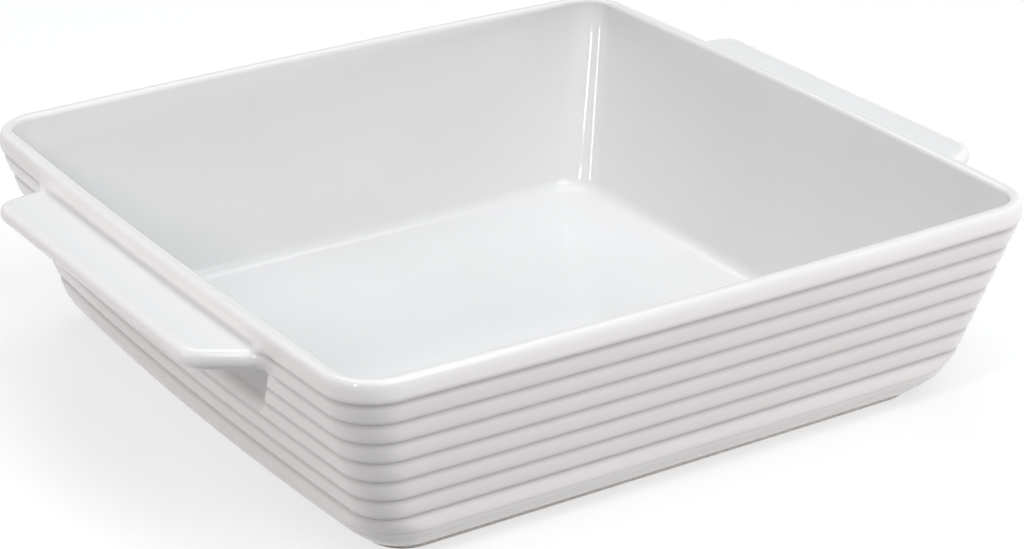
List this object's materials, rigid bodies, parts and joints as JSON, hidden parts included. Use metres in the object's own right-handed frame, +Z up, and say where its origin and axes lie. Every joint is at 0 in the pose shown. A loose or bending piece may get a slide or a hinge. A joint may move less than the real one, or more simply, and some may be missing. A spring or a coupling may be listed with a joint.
{
  "type": "square gratin dish",
  "caption": "Square baking dish in white glazed ceramic with a sloping ribbed wall, a rounded lip, a foot ring and lug handles on opposite sides for lifting it hot.",
  "frame": {"origin": "middle of the dish, on the surface that its foot ring stands on", "axes": "+Z up, +X through the right handle, +Y towards the back side"},
  "size_m": [0.2878, 0.25, 0.069],
  "materials": {
    "white_glaze": "glossy clear white glaze over a white body",
    "bare_clay": "unglazed, dry and matte, where the foot is wiped clean before firing"
  },
  "bodies": {
    "root": {"base_plate": "white_glaze", "foot_ring": "bare_clay", "ribbed_wall": "white_glaze", "rim": "white_glaze", "right_handle": "white_glaze", "left_handle": "white_glaze"}
  },
  "joints": []
}
